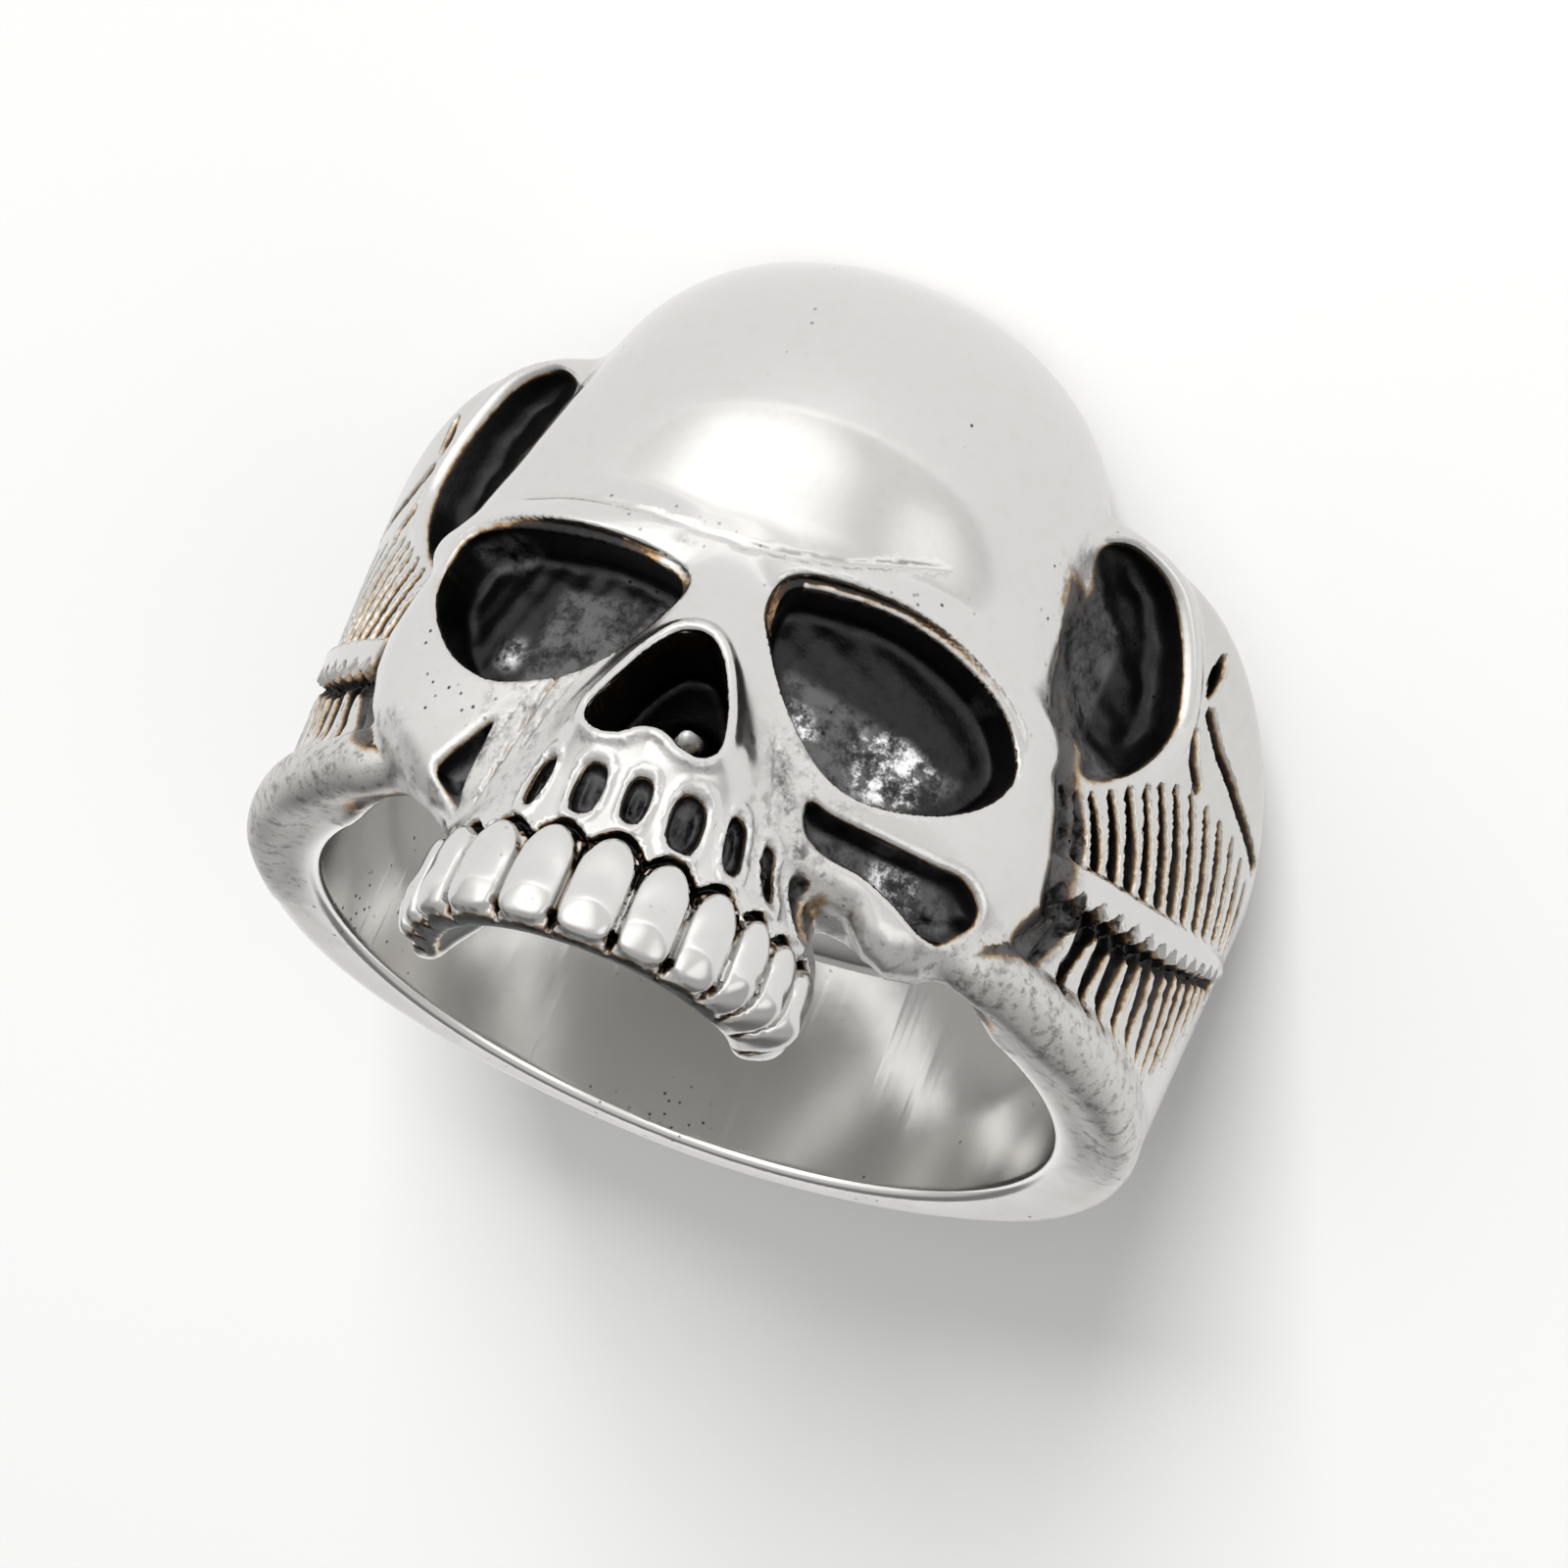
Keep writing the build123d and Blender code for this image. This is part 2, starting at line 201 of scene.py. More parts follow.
def crown_shape(x, y, z):
    """Distance to the crown: round from above, fuller than an ellipse over its widest place."""
    height = np.where(z > CROWN_Z, CROWN_HEIGHT, CROWN_DEPTH)
    power = np.where(z > CROWN_Z, CROWN_POWER, 2.0)
    across = np.maximum(np.hypot(x - CROWN_X, y - CROWN_Y) / CROWN_RADIUS, 1e-3)
    up = np.maximum(np.abs(z - CROWN_Z) / height, 1e-3)
    reach = (across ** power + up ** power) ** (1 / power)
    slope = reach ** (1 - power) * np.hypot(across ** (power - 1) / CROWN_RADIUS, up ** (power - 1) / height)
    return (reach - 1) / np.maximum(slope, 0.05)


def brow_shape(x, y, z):
    """Distance to a round bar bent round the finger over one socket, drooping and thinning to the outside."""
    ax = np.sqrt(x * x + 0.3)
    sine, cosine = math.sin(math.radians(BROW_DROOP)), math.cos(math.radians(BROW_DROOP))
    out, up = ax * cosine - z * sine, ax * sine + z * cosine
    turn = np.degrees(np.arctan2(np.abs(out), -y))
    size = BROW_RADIUS * (1 - 0.55 * step(16, 38, turn)) - 3.0 * step(36, 52, turn)
    return np.hypot(np.hypot(out, y) - BROW_REACH, up - BROW_Z) - size


def capsule(x, y, z, a, b):
    """Distance to a rod between two points (x, y, z, radius)."""
    ab = [b[i] - a[i] for i in range(3)]
    px, py, pz = x - a[0], y - a[1], z - a[2]
    t = np.clip((px * ab[0] + py * ab[1] + pz * ab[2]) / (ab[0] ** 2 + ab[1] ** 2 + ab[2] ** 2), 0, 1)
    near = np.sqrt((px - t * ab[0]) ** 2 + (py - t * ab[1]) ** 2 + (pz - t * ab[2]) ** 2)
    return near - (a[3] + (b[3] - a[3]) * t)


def rod(x, y, z, points, k):
    d = capsule(x, y, z, points[0], points[1])
    for a, b in zip(points[1:-1], points[2:]):
        d = smin(d, capsule(x, y, z, a, b), k)
    return d


def segment(u, v, a, b):
    """Distance to a line between two points of a plane, and how far along it the nearest point is."""
    du, dv = b[0] - a[0], b[1] - a[1]
    t = np.clip(((u - a[0]) * du + (v - a[1]) * dv) / (du * du + dv * dv), 0, 1)
    return np.hypot(u - a[0] - t * du, v - a[1] - t * dv), t


def polygon(u, v, pts):
    """Signed distance to a closed outline in a plane, negative inside."""
    d = np.full(u.shape, 1e9, np.float32)
    s = np.ones(u.shape, np.float32)
    for (x0, y0), (x1, y1) in zip(pts, pts[-1:] + pts[:-1]):
        ex, ey = x1 - x0, y1 - y0
        wx, wy = u - x0, v - y0
        t = np.clip((wx * ex + wy * ey) / (ex * ex + ey * ey), 0, 1)
        d = np.minimum(d, (wx - ex * t) ** 2 + (wy - ey * t) ** 2)
        above, below, left = v >= y0, v < y1, ex * wy > ey * wx
        s = np.where((above & below & left) | (~above & ~below & ~left), -s, s)
    return s * np.sqrt(d)


def smooth_outline(pts, parts=5):
    """A closed smooth curve through points, as a finer outline."""
    p = np.array(pts)
    out = []
    for i in range(len(p)):
        a, b, c, d = p[i - 1], p[i], p[(i + 1) % len(p)], p[(i + 2) % len(p)]
        for t in np.arange(parts) / parts:
            out.append(tuple(0.5 * (2 * b + (c - a) * t + (2 * a - 5 * b + 4 * c - d) * t * t
                                    + (3 * b - a - 3 * c + d) * t ** 3)))
    return out


def smooth_table(at, values, count=361):
    """A smooth curve through a table, as two finer lists for np.interp."""
    at, values = np.array(at, float), np.array(values, float)
    slope = np.gradient(values, at)
    fine = np.linspace(at[0], at[-1], count)
    i = np.clip(np.searchsorted(at, fine, side="right") - 1, 0, len(at) - 2)
    w = at[i + 1] - at[i]
    t = (fine - at[i]) / w
    h = ((1 + 2 * t) * (1 - t) ** 2 * values[i] + t * (1 - t) ** 2 * w * slope[i]
         + t * t * (3 - 2 * t) * values[i + 1] + t * t * (t - 1) * w * slope[i + 1])
    return fine, h


class Chart:
    """Values over two coordinates, worked out once and read back between their points."""

    def __init__(self, us, vs, make):
        self.us, self.vs = us, vs
        u, v = np.meshgrid(us, vs, indexing="ij")
        self.values = make(u, v).astype(np.float32)

    def __call__(self, u, v):
        nu, nv = self.values.shape
        fu = np.clip((u - self.us[0]) / (self.us[1] - self.us[0]), 0, nu - 1.001)
        fv = np.clip((v - self.vs[0]) / (self.vs[1] - self.vs[0]), 0, nv - 1.001)
        i, j = fu.astype(np.int32), fv.astype(np.int32)
        s, t = fu - i, fv - j
        g = self.values
        return ((g[i, j] * (1 - s) + g[i + 1, j] * s) * (1 - t)
                + (g[i, j + 1] * (1 - s) + g[i + 1, j + 1] * s) * t)


# The shoulder's relief: quill, barbs, rim of the window, dimple and two curved grooves
DEGREE = math.radians(1) * 13.4


def quill_rise(a, z):
    middle = np.interp(a, QUILL_ANGLES, QUILL_HEIGHTS)
    half = np.interp(a, QUILL_ANGLES, QUILL_HALF)
    saw = np.abs(((a + 44.6) / 3.37) % 1 - 0.5) * 2
    low = middle - half - 0.42 * (1 - saw) + 0.12
    edges = step(-0.02, 0.18, z - low) * step(-0.02, 0.34, middle + half - z)
    return edges * step(-52, -47, a) * step(9, 2, a)


def barb_relief(a, z):
    cut = np.zeros(a.shape)
    for rows, bend in ((BARBS_ABOVE, 0.10), (BARBS_BELOW, -0.10)):
        for n, (a0, z0, a1, z1) in enumerate(rows):
            root, tip = (a0 * DEGREE, z0), (a1 * DEGREE, z1)
            u = a * DEGREE
            dist, t = segment(u, z, root, tip)
            across = (u - root[0]) * (tip[1] - root[1]) - (z - root[1]) * (tip[0] - root[0])
            across /= math.hypot(tip[0] - root[0], tip[1] - root[1])
            bowed = np.where((t > 0) & (t < 1), np.abs(across - bend * 4 * t * (1 - t)), dist)
            wide = (0.25 + 0.03 * (n % 3) + (0.07 if bend < 0 else 0.0)) * (1 - 0.8 * np.maximum(t - 0.3, 0))
            if bend < 0:
                wide = wide * (1 + 0.7 * step(0.22, 0.0, t))
            cut = np.maximum(cut, (1 - step(0.35, 1.0, bowed / wide)) * (1 - 0.35 * t))
    return cut * (1 - quill_rise(a, z))


def curve_relief(a, z):
    cut = np.zeros(a.shape)
    for path in CURVES:
        for p, q in zip(path[:-1], path[1:]):
            dist = segment(a * DEGREE, z, (p[0] * DEGREE, p[1]), (q[0] * DEGREE, q[1]))[0]
            cut = np.maximum(cut, 0.8 * (1 - step(0.03, 0.24, dist)))
    u, v = (a - DIMPLE_AT[0]) * DEGREE / DIMPLE_SIZE[0], (z - DIMPLE_AT[1]) / DIMPLE_SIZE[1]
    return np.maximum(cut, 1.6 * (1 - step(0.35, 1.1, np.hypot(u, v))))


WINDOW_DEGREE = math.radians(1) * 12.9
WINDOW_OUTLINE = smooth_outline([(a * WINDOW_DEGREE, z) for a, z in WINDOW])
WINDOW_CHART = Chart(np.arange(-85, -10, 0.25), np.arange(-2, 13, 0.06),
                     lambda a, z: polygon(a * WINDOW_DEGREE, z, WINDOW_OUTLINE))


def shoulder_chart(a, z):
    rim = WINDOW_CHART(a, z)
    lip = 0.18 * np.exp(-((rim - 0.3) / 0.3) ** 2) * step(2.5, 5.0, z) * step(-55, -48, a)
    cut = np.maximum(barb_relief(a, z), 0.9 * curve_relief(a, z))
    return (0.34 - 0.18 * step(-30, -10, a)) * quill_rise(a, z) + lip - 0.48 * cut


SHOULDER_US, SHOULDER_VS = np.arange(-75, 40, 0.2), np.arange(-5, 11, 0.045)
SHOULDER = Chart(SHOULDER_US, SHOULDER_VS, shoulder_chart)
GROOVES = Chart(SHOULDER_US, SHOULDER_VS, lambda a, z: np.maximum(barb_relief(a, z), curve_relief(a, z)))

BAND_AT = np.arange(10) * 20.0
LOW_TABLE = smooth_table(BAND_AT, BAND_LOW)
HIGH_TABLE = smooth_table(BAND_AT, BAND_HIGH)
UP_TABLE = smooth_table(BAND_AT, BAND_UP)


def band_shape(x, y, z):
    """Distance to the shank without relief; also the angle from +X, and the radius."""
    r = np.sqrt(x * x + y * y)
    phi = np.degrees(np.arctan2(np.abs(x), y))
    low, high, up = (np.interp(phi, *t).astype(np.float32) for t in (LOW_TABLE, HIGH_TABLE, UP_TABLE))
    top = BACK_TOP + up * (SHOULDER_TOP - BACK_TOP)
    thin = BACK_WALL + (FRONT_WALL - BACK_WALL) * phi / 180
    foot = thin + low * (SHOULDER_LOW - thin)
    head = thin + high * (SHOULDER_HIGH - thin)
    t = np.clip((z - CHIN_EDGE) / (top - CHIN_EDGE), -0.2, 1.2)
    return r - (BORE + foot + (head - foot) * t), top, 90 - phi, r


def window_floor(a, z):
    """The window is deepest at its back end and rises to the face and to its lower edge."""
    slant = a + 0.6 * (z - 6) + 0.8 * np.sin(2.3 * z)
    lumps = np.sin(2.9 * z + 0.21 * a) * np.sin(0.23 * a + 1.3 * z) + 0.5 * np.sin(5.3 * z - 0.5 * a)
    return WINDOW_FLOOR + 0.9 * step(-41.0, -60, slant) + 0.6 * step(4.6, 2.8, z) + 0.07 * lumps


def band(x, y, z, relief=True):
    out, top, a, r = band_shape(x, y, z)
    if relief:
        out = out - SHOULDER(a, z)
    d = smax(out, (z - top) * 0.93, 0.9)
    d = smax(d, CHIN_EDGE - z, 0.7)
    bead = 0.8 * step(-60, -48, a) * step(12, -24, a) * (1 + 0.04 * np.sin(a * 0.35))
    ridge = np.hypot((r - (BORE + 1.75)) * 1.35, z - (CHIN_EDGE + 0.66 + 0.05 * np.sin(a * 0.22))) - bead
    d = smin(d, np.where(bead > 0.05, ridge * 0.8, 1.0), 0.9)
    if relief:
        window = smax(WINDOW_CHART(a, z), window_floor(a, z) - r, 0.5)
        d = smax(d, -window, 0.22)
    return d


# The face: charts of its recesses over the width across the barrel and the height
FACE_US, FACE_VS = np.arange(-10, 10, 0.05), np.arange(-9, 9, 0.05)


def outline_chart(points):
    fine = smooth_outline(points)
    return Chart(FACE_US, FACE_VS, lambda u, v: polygon(u.astype(np.float32), v.astype(np.float32), fine))


def pair_chart(right, left):
    right, left = smooth_outline(right), smooth_outline(left)
    return Chart(FACE_US, FACE_VS, lambda u, v: np.minimum(polygon(u, v, right), polygon(u, v, left)))


SOCKETS = pair_chart(SOCKET_RIGHT, SOCKET_LEFT)
NOSE_CHART = outline_chart(NOSE)
HOLLOWS = pair_chart(HOLLOW_RIGHT, HOLLOW_LEFT)


def line_chart(u, v):
    cut = np.zeros(u.shape)
    for half, depth, points in LINES:
        length = sum(math.dist(p, q) for p, q in zip(points[:-1], points[1:]))
        done = 0.0
        for p, q in zip(points[:-1], points[1:]):
            dist, t = segment(u, v, p, q)
            along = (done + t * math.dist(p, q)) / length
            fade = np.sqrt(np.maximum(1 - np.abs(2 * along - 1) ** 3, 0.02))
            wide = half * (0.5 + 0.5 * fade)
            cut = np.maximum(cut, depth * fade * (1 - step(0.2, 1.0, dist / wide)))
            done += math.dist(p, q)
    return cut


FACE_LINES = Chart(FACE_US, FACE_VS, line_chart)
FACE_SIDE = Chart(np.arange(-12, 12, 0.06), np.arange(-10, 16, 0.06),
                  lambda u, v: polygon(u, v, FACE_OUTLINE))

# Shares of the jaw's radius, across and in depth, at heights from the teeth up
JAW_AT = (TEETH_END, -4.92, -2.79, 0.0, JAW_TOP)
JAW_WIDE = smooth_table(JAW_AT, (1.0, 0.98, 0.80, 0.55, 0.28))
JAW_DEEP = smooth_table(JAW_AT, (0.98, 0.95, 1.0, 0.86, 0.52))


def teeth_chart(angle, z):
    """Relief of the jaw: domed teeth, the gaps, the wavy line of the gums and the root pockets."""
    height = np.zeros(angle.shape)
    arch = np.full(angle.shape, -6.0)
    for left, right in zip(GAPS[:-1], GAPS[1:]):
        middle, half = (left + right) / 2, (right - left) / 2
        u = (angle - middle) / half
        inside = np.abs(u) <= 1
        far = abs(middle) / 90
        peak = -5.35 - 0.45 * far
        arch = np.where(inside, peak - 0.45 * np.abs(u) ** 1.8, arch)
        top, end = peak - 0.45 * np.abs(u) ** 1.8 - 0.12, -8.14 - 0.06 * far
        v = (z - (top + end) / 2) / ((top - end) / 2)
        dome = np.sqrt(np.maximum(1 - np.abs(u) ** 2.8 - np.abs(v) ** 3.6, 0))
        full = 0.36 + 0.10 * np.exp(-((v + 0.35) / 0.35) ** 2 - (u / 0.6) ** 2)
        height = np.where(inside, full * dome ** 0.6, height)
    gum = np.abs(z - arch)
    below = step(0.1, -0.1, z - arch)
    height = height - 0.04 * below
    height -= 0.30 * (1 - step(0.04, 0.14, gum))
    for gap in GAPS:
        beside = np.abs(angle - gap) * math.radians(1) * JAW_RADIUS
        height -= 0.22 * (1 - step(0.02, 0.11, beside)) * below
        height -= 0.2 * (1 - step(0.05, 0.15, np.hypot(beside, z - TEETH_END - 0.4)))
    for at, up, wide, high in POCKETS:
        u = (angle - at) * math.radians(1) * JAW_RADIUS
        v = z - up
        u = u + v * math.tan(math.radians(at * 0.25))
        oval = (np.abs(u / wide) ** 2.8 + np.abs(v / high) ** 2.8) ** (1 / 2.8)
        height -= 0.40 * (1 - step(0.78, 1.12, oval)) - 0.14 * (1 - step(0.1, 0.7, oval))
        height += 0.08 * np.exp(-((oval - 1.4) / 0.22) ** 2)
    return height


TEETH = Chart(np.arange(-110, 110, 0.35), np.arange(-8.6, -3.2, 0.035), teeth_chart)


def jaw(x, y, z, relief=True):
    wide = JAW_RADIUS * np.interp(z, *JAW_WIDE).astype(np.float32)
    deep = JAW_RADIUS * np.interp(z, *JAW_DEEP).astype(np.float32)
    wide = wide * (1 + 0.08 * step(0.0, 3.0, x) * step(-4.2, -5.6, z))
    kx, ky = x / wide, (y - JAW_Y) / deep
    d = (np.sqrt(kx * kx + ky * ky) - 1) * np.minimum(wide, deep)
    if relief:
        angle = np.degrees(np.arctan2(x, JAW_Y - y))
        d = d - TEETH(angle, z) * step(100, 85, np.abs(angle))
    d = smax(d, TEETH_END + 0.2 * step(3.0, 4.9, x) - z, 0.3 + 0.6 * step(2.6, 4.4, x))
    return smax(d, z - JAW_TOP, 2.0)


def barrel(z):
    """Radius of the face, which falls back above and below."""
    return FACE_RADIUS - FACE_CURVE * (z / FACE_HALF) ** 2


def skull_uncut(x, y, z, relief=False):
    r = np.sqrt(x * x + y * y)
    crown = crown_shape(x, y, z).astype(np.float32)
    side = FACE_SIDE(x, z)
    front = r - barrel(z)
    plate = smax(side, front, 0.3)
    plate = smax(plate, (side + front) * 0.7071 + 0.32, 0.2)
    plate = smax(plate, y + 5.5, 0.3)
    d = smin(plate, crown, 1.4)
    d = smin(d, brow_shape(x, y, z).astype(np.float32), 0.7)
    mouth = jaw(x, y, z, relief)
    bridge = rod(np.abs(x), y, z, BRIDGE, 0.6)
    mouth = smin(mouth, bridge, 0.7)
    return smin(d, mouth, 0.8)


def skull(x, y, z):
    r = np.sqrt(x * x + y * y)
    d = skull_uncut(x, y, z, relief=True)
    across = x * FACE_RADIUS / np.maximum(r, 1e-3)
    front = y < -4
    d = d + np.where(front, FACE_LINES(across, z), 0.0)
    eye = np.where(front, SOCKETS(across, z), 9.0)
    shelf = smax(eye - 0.22 * step(0.5, 2.0, z), SOCKET_SHELF - r, 0.1)
    uneven = np.sin(5.1 * across + 1.7 * z) * np.sin(4.3 * z - 2.2 * across)
    eye = smax(eye, SOCKET_FLOOR + 0.035 * uneven - r, 0.35)
    d = smax(d, -eye, 0.14)
    d = smax(d, -shelf, 0.1)
    nose = np.where(front, NOSE_CHART(x, z), 9.0)
    d = d - 0.10 * np.exp(-((nose - 0.2) / 0.14) ** 2)
    nose_floor = NOSE_FLOOR + BALL_HIGH * blob(x, z, BALL_AT, BALL_SIZE)
    d = smax(d, -smax(nose, nose_floor - r, 0.3), 0.12)
    hollow = np.where(front, HOLLOWS(across, z), 9.0)
    d = smax(d, -smax(hollow, HOLLOW_FLOOR - r, 0.5), 0.25)
    inner = JAW_RADIUS - 1.8 + 0.95 * step(-6.6, -8.2, z)
    palate = (np.sqrt((x / inner) ** 2 + ((y - JAW_Y) / inner) ** 2) - 1) * inner
    palate = smax(palate, z + 4.4, 1.2)
    return smax(d, -palate, 0.35)


def uncut(x, y, z):
    return np.minimum(skull_uncut(x - SKULL_SHIFT, y, z), band(x, y, z, relief=False) - 0.05)


def ring(x, y, z):
    head = skull(x - SKULL_SHIFT, y, z)
    shank = band(x, y, z)
    d = smin(head, shank, 0.3)
    r = np.sqrt(x * x + y * y)
    under_cheek = step(-2.4, -3.6, z) * step(4.9, 5.8, np.abs(x)) * step(-6.0, -8.0, y)
    soft = 0.3 + 0.9 * step(10.5, 13.0, z) + 1.3 * under_cheek
    return smax(d, BORE - r, soft)


BLOCK = 6
BLOCKS_AT_ONCE = 3000
POINTS_AT_ONCE = 200000


def grid_values(field, axes, stride=BLOCK):
    """The field over a grid, worked out in full only in the blocks that its surface can pass."""
    shape = tuple(len(a) for a in axes)
    middles = [np.minimum(np.arange(0, n + stride - 1, stride) + stride // 2, n - 1) for n in shape]
    at = np.meshgrid(*[a[m] for a, m in zip(axes, middles)], indexing="ij")
    rough = field(*[c.ravel() for c in at]).reshape(at[0].shape)
    values = rough.repeat(stride, 0).repeat(stride, 1).repeat(stride, 2)
    values = values[: shape[0], : shape[1], : shape[2]].copy()
    near = np.nonzero(np.abs(rough) < stride * (axes[0][1] - axes[0][0]) * 1.45)
    offsets = np.stack(np.meshgrid(*[np.arange(stride)] * 3, indexing="ij"), -1).reshape(-1, 3)
    for start in range(0, len(near[0]), BLOCKS_AT_ONCE):
        some = slice(start, start + BLOCKS_AT_ONCE)
        cells = [(n[some, None] * stride + offsets[:, e]).ravel() for e, n in enumerate(near)]
        inside = np.all([c < n for c, n in zip(cells, shape)], axis=0)
        cells = [c[inside] for c in cells]
        values[tuple(cells)] = field(*[a[c] for a, c in zip(axes, cells)])
    return values


def surface_nets(values, axes):
    """A closed mesh of quads round the part of the grid that is inside."""
    inside = values < 0
    count = inside.astype(np.int8)
    ends = [(slice(0, -1), slice(1, None))] * 3
    total = sum(count[ends[0][i], ends[1][j], ends[2][k]] for i in (0, 1) for j in (0, 1) for k in (0, 1))
    cell = np.nonzero((total > 0) & (total < 8))
    ids = np.full(total.shape, -1, np.int32)
    ids[cell] = np.arange(len(cell[0]))
    points, crossings = np.zeros((len(cell[0]), 3)), np.zeros(len(cell[0]))
    for corner in [(i, j, k) for i in (0, 1) for j in (0, 1) for k in (0, 1)]:
        for e in range(3):
            if corner[e]:
                continue
            other = tuple(1 if f == e else corner[f] for f in range(3))
            a = values[tuple(cell[f] + corner[f] for f in range(3))]
            b = values[tuple(cell[f] + other[f] for f in range(3))]
            m = (a < 0) != (b < 0)
            t = (a[m] / (a[m] - b[m]))[:, None]
            pa = np.stack([axes[f][cell[f][m] + corner[f]] for f in range(3)], 1)
            pb = np.stack([axes[f][cell[f][m] + other[f]] for f in range(3)], 1)
            points[m] += pa + t * (pb - pa)
            crossings[m] += 1
    quads = []
    for e in range(3):
        first = tuple(slice(0 if f == e else 1, -1) for f in range(3))
        second = tuple(slice(1, None if f == e else -1) for f in range(3))
        a, b = inside[first], inside[second]
        edge = np.argwhere(a != b)
        flip = a[tuple(edge.T)]
        base = edge + np.array([0 if f == e else 1 for f in range(3)])
        u, w = np.zeros(3, int), np.zeros(3, int)
        u[(e + 1) % 3] = 1
        w[(e + 2) % 3] = 1
        quad = np.stack([ids[tuple((base - s).T)] for s in (u + w, w, np.zeros(3, int), u)], 1)
        quads.append(np.where(flip[:, None], quad, quad[:, ::-1]))
    return points / crossings[:, None], np.concatenate(quads)


def in_parts(field, points):
    parts = np.array_split(points.astype(np.float32), max(1, len(points) // POINTS_AT_ONCE))
    return np.concatenate([field(*p.T) for p in parts])


def gradient(field, points, reach):
    slope = np.empty(points.shape)
    for e in range(3):
        move = np.zeros(3)
        move[e] = reach
        slope[:, e] = (in_parts(field, points + move) - in_parts(field, points - move)) / (2 * reach)
    return slope


def settle(field, points, steps, reach=0.03, limit=0.1):
    """Move points onto the surface; return them with the surface's normals."""
    for n in range(steps):
        slope = gradient(field, points, reach)
        away = in_parts(field, points) / np.maximum((slope ** 2).sum(1), 0.3)
        points = points - np.clip(away, -limit, limit)[:, None] * slope
    slope = gradient(field, points, reach)
    return points, slope / np.linalg.norm(slope, axis=1, keepdims=True)


# The mesh: a fine grid, thinned where the surface is smooth
PITCH = 0.13
FACES = 190000
SPANS = ((-14.3, 14.4), (-15.7, 12.9), (-8.7, 14.9))
axes = [np.arange(a, b, PITCH, dtype=np.float32) for a, b in SPANS]
points, quads = surface_nets(grid_values(ring, axes), axes)
points, normals = settle(ring, points, 2)
rough = bpy.data.meshes.new("rough")
rough.from_pydata(points.tolist(), [], quads.tolist())
draft = bpy.data.objects.new("draft", rough)
bpy.context.scene.collection.objects.link(draft)
thin = draft.modifiers.new("thin", "DECIMATE")
thin.ratio = min(1.0, FACES / (2 * len(quads)))
bpy.context.view_layer.update()
mesh = bpy.data.meshes.new_from_object(draft.evaluated_get(bpy.context.evaluated_depsgraph_get()))
bpy.data.objects.remove(draft)
bpy.data.meshes.remove(rough)
points = np.empty(len(mesh.vertices) * 3)
mesh.vertices.foreach_get("co", points)
points, normals = settle(ring, points.reshape(-1, 3), 1, limit=0.03)

lean = math.radians(LEAN)
LAID = np.array([[-1, 0, 0], [0, math.cos(lean), -math.sin(lean)], [0, -math.sin(lean), -math.cos(lean)]])
placed = (points @ LAID.T + RING_MIDDLE) * MM
mesh.vertices.foreach_set("co", placed.ravel())
mesh.polygons.foreach_set("use_smooth", np.ones(len(mesh.polygons), bool))
mesh.update()
mesh.normals_split_custom_set_from_vertices((normals @ LAID.T).tolist())
mesh.name = "skull_ring_cast"


def attribute(name, values):
    mesh.attributes.new(name, "FLOAT", "POINT").data.foreach_set("value", values.astype(np.float32))


# How black each place is: deep below the uncut surface, in the grooves, or where skull and shank meet
x, y, z = points.astype(np.float32).T
radius = np.hypot(x, y)
from_nose = x - SKULL_SHIFT
outside = step(BORE + 0.15, BORE + 0.5, radius)
deep = in_parts(uncut, points)
other = np.maximum(in_parts(lambda a, b, c: skull_uncut(a - SKULL_SHIFT, b, c), points),
                   in_parts(lambda a, b, c: band(a, b, c, relief=False), points))
side = FACE_SIDE(from_nose, z)
behind = np.where(side > 0.12, 1.0, step(-0.5, -0.9, radius - barrel(z)))
corner = step(1.1, 0.3, other) * behind * (y < -2) * step(7.8, 6.6, z) * step(-3.9, -3.3, z)
angle = 90 - np.degrees(np.arctan2(np.abs(x), y))
on_band = step(0.6, 0.2, np.abs(band_shape(x, y, z)[0]))
groove = GROOVES(angle, z) * on_band
jaw_angle = np.degrees(np.arctan2(from_nose, JAW_Y - y))
at_jaw = (np.abs(jaw_angle) < 95) * (y < JAW_Y + 1)
tooth = -TEETH(jaw_angle, z) * at_jaw * (z > -8.1)
teeth_edge = 0.8 * step(-8.13, -8.17, z)
front = y < -9
face_x = from_nose * FACE_RADIUS / radius
lines = FACE_LINES(face_x, z) * front * (deep > -0.3) * (z < 2.5) / 0.4
# Dirt in the folds beside the muzzle and next to the jaw, and a scar over the left eye
FOLDS = [[(-2.7, -1.0), (-3.7, -2.3), (-4.35, -3.3), (-4.6, -4.7)],
         [(2.5, -1.2), (3.1, -2.4), (4.3, -3.9), (5.0, -4.6)]]
fold = np.full(x.shape, 9.0)
for path in FOLDS:
    for p, q in zip(path[:-1], path[1:]):
        fold = np.minimum(fold, segment(face_x, z, p, q)[0])
fold = np.exp(-(fold / 0.45) ** 2) * front
soot = blob(face_x, z, (5.0, -4.7), (0.5, 0.7)) * (y < -8)
scar = blob(face_x, z, (-1.45, 2.95), (0.4, 0.28)) * front
recess = np.maximum.reduce([np.clip(-deep / 0.3, 0, 1), 0.75 * corner, groove, np.clip(tooth / 0.2, 0, 1),
                            teeth_edge, lines, 0.2 * fold, 0.3 * scar, 0.7 * soot])
